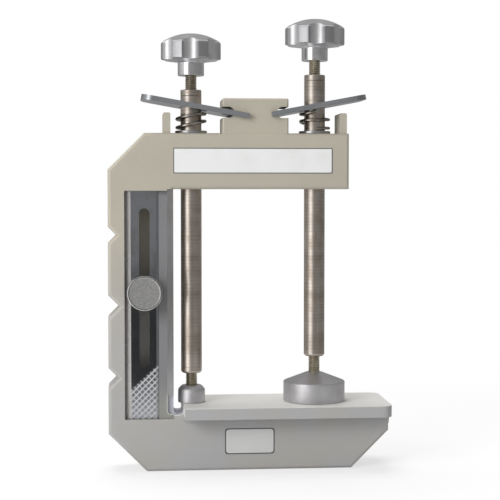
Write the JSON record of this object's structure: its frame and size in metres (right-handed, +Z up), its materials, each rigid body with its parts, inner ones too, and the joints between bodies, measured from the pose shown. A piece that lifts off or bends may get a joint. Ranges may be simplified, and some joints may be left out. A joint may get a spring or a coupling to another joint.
{
  "type": "corner clamp",
  "caption": "C-frame corner clamp with a painted cast frame, an anvil, a slotted fence column and two quick-slide screw spindles with latch levers and star knobs.",
  "frame": {"origin": "middle of the base's resting face, in the plane of the two spindles", "axes": "+Z up along the spindles, +X towards the arm's free end, -Y towards the viewer"},
  "size_m": [0.2346, 0.076, 0.3769],
  "materials": {
    "casting_paint": "smooth light grey paint on a casting",
    "mirror_steel": "mirror polished steel",
    "fence_steel": "ground steel",
    "zinc_steel": "zinc plated",
    "spring_steel": "bright drawn wire",
    "tube_steel": "turned and polished steel",
    "bronzed_steel": "dark oiled thread",
    "lever_steel": "sheared and polished steel plate",
    "cast_aluminium": "turned aluminium",
    "turned_aluminium": "satin turned face",
    "polished_aluminium": "buffed casting"
  },
  "bodies": {
    "frame": {"frame_casting": "casting_paint", "slotted_plate": "mirror_steel", "fence_plate": "fence_steel", "fence_screws": "zinc_steel", "plate_screws": "zinc_steel", "spring_washer_left": "zinc_steel", "spring_washer_right": "zinc_steel", "lever_spring_left": "spring_steel", "lever_spring_right": "spring_steel"},
    "slide_nut": {"slide_nut": "zinc_steel"},
    "thumb_washer": {"thumb_washer": "zinc_steel"},
    "thumb_knob": {"thumb_knob": "turned_aluminium", "thumb_stud": "zinc_steel"},
    "foot_left": {"foot_left": "cast_aluminium"},
    "screw_left": {"spindle_screw_left": "bronzed_steel", "star_knob_left": "polished_aluminium", "knob_set_screw_left": "zinc_steel", "foot_clip_left": "spring_steel"},
    "tube_left": {"clamp_tube_left": "tube_steel", "tube_cap_left": "tube_steel", "tube_nut_left": "zinc_steel"},
    "lever_left": {"lever_left": "lever_steel"},
    "foot_right": {"foot_right": "cast_aluminium"},
    "screw_right": {"spindle_screw_right": "bronzed_steel", "star_knob_right": "polished_aluminium", "knob_set_screw_right": "zinc_steel", "foot_clip_right": "spring_steel"},
    "tube_right": {"clamp_tube_right": "tube_steel", "tube_cap_right": "tube_steel", "tube_nut_right": "zinc_steel"},
    "lever_right": {"lever_right": "lever_steel"}
  },
  "joints": [
    {"name": "knob_slide", "type": "slide", "parent": "frame", "child": "slide_nut", "axis": [0, 0, 1], "range_m": [-0.0594, 0.0646]},
    {"name": "washer_feed", "type": "slide", "parent": "slide_nut", "child": "thumb_washer", "axis": [0, -1, 0], "range_m": [0, 0.0025]},
    {"name": "thumb_knob_turn", "type": "hinge", "parent": "thumb_washer", "child": "thumb_knob", "pos_m": [-0.0873, -0.014, 0.1495], "axis": [0, -1, 0], "range_deg": [0, 721]},
    {"name": "foot_lift_left", "type": "slide", "parent": "frame", "child": "foot_left", "axis": [0, 0, 1], "range_m": [0, 0.1641]},
    {"name": "screw_turn_left", "type": "hinge", "parent": "foot_left", "child": "screw_left", "pos_m": [-0.0479, 0, 0.32865], "axis": [0, 0, -1], "range_deg": [-2354, 2738]},
    {"name": "tube_feed_left", "type": "slide", "parent": "foot_left", "child": "tube_left", "axis": [0, 0, 1], "range_m": [-0.0098, 0.0114]},
    {"name": "lever_tilt_left", "type": "hinge", "parent": "frame", "child": "lever_left", "pos_m": [-0.0182, 0, 0.2978], "axis": [0, -1, 0], "range_deg": [0, 7.5], "stiffness_Nm_per_rad": 1.8, "springref_deg": -6.88, "deforming": ["lever_spring_left"]},
    {"name": "foot_lift_right", "type": "slide", "parent": "frame", "child": "foot_right", "axis": [0, 0, 1], "range_m": [0, 0.1544]},
    {"name": "screw_turn_right", "type": "hinge", "parent": "foot_right", "child": "screw_right", "pos_m": [0.0562, 0, 0.34175], "axis": [0, 0, -1], "range_deg": [-3170, 2738]},
    {"name": "tube_feed_right", "type": "slide", "parent": "foot_right", "child": "tube_right", "axis": [0, 0, 1], "range_m": [-0.0132, 0.0114]},
    {"name": "lever_tilt_right", "type": "hinge", "parent": "frame", "child": "lever_right", "pos_m": [0.0265, 0, 0.2978], "axis": [0, 1, 0], "range_deg": [0, 8.2], "stiffness_Nm_per_rad": 1.8, "springref_deg": -6.88, "deforming": ["lever_spring_right"]}
  ],
  "couplings": [
    {"joint": "thumb_knob_turn", "follows": "washer_feed", "rad_per_m": 5026.5},
    {"joint": "screw_turn_left", "follows": "tube_feed_left", "rad_per_m": 4188.8},
    {"joint": "screw_turn_right", "follows": "tube_feed_right", "rad_per_m": 4188.8}
  ]
}
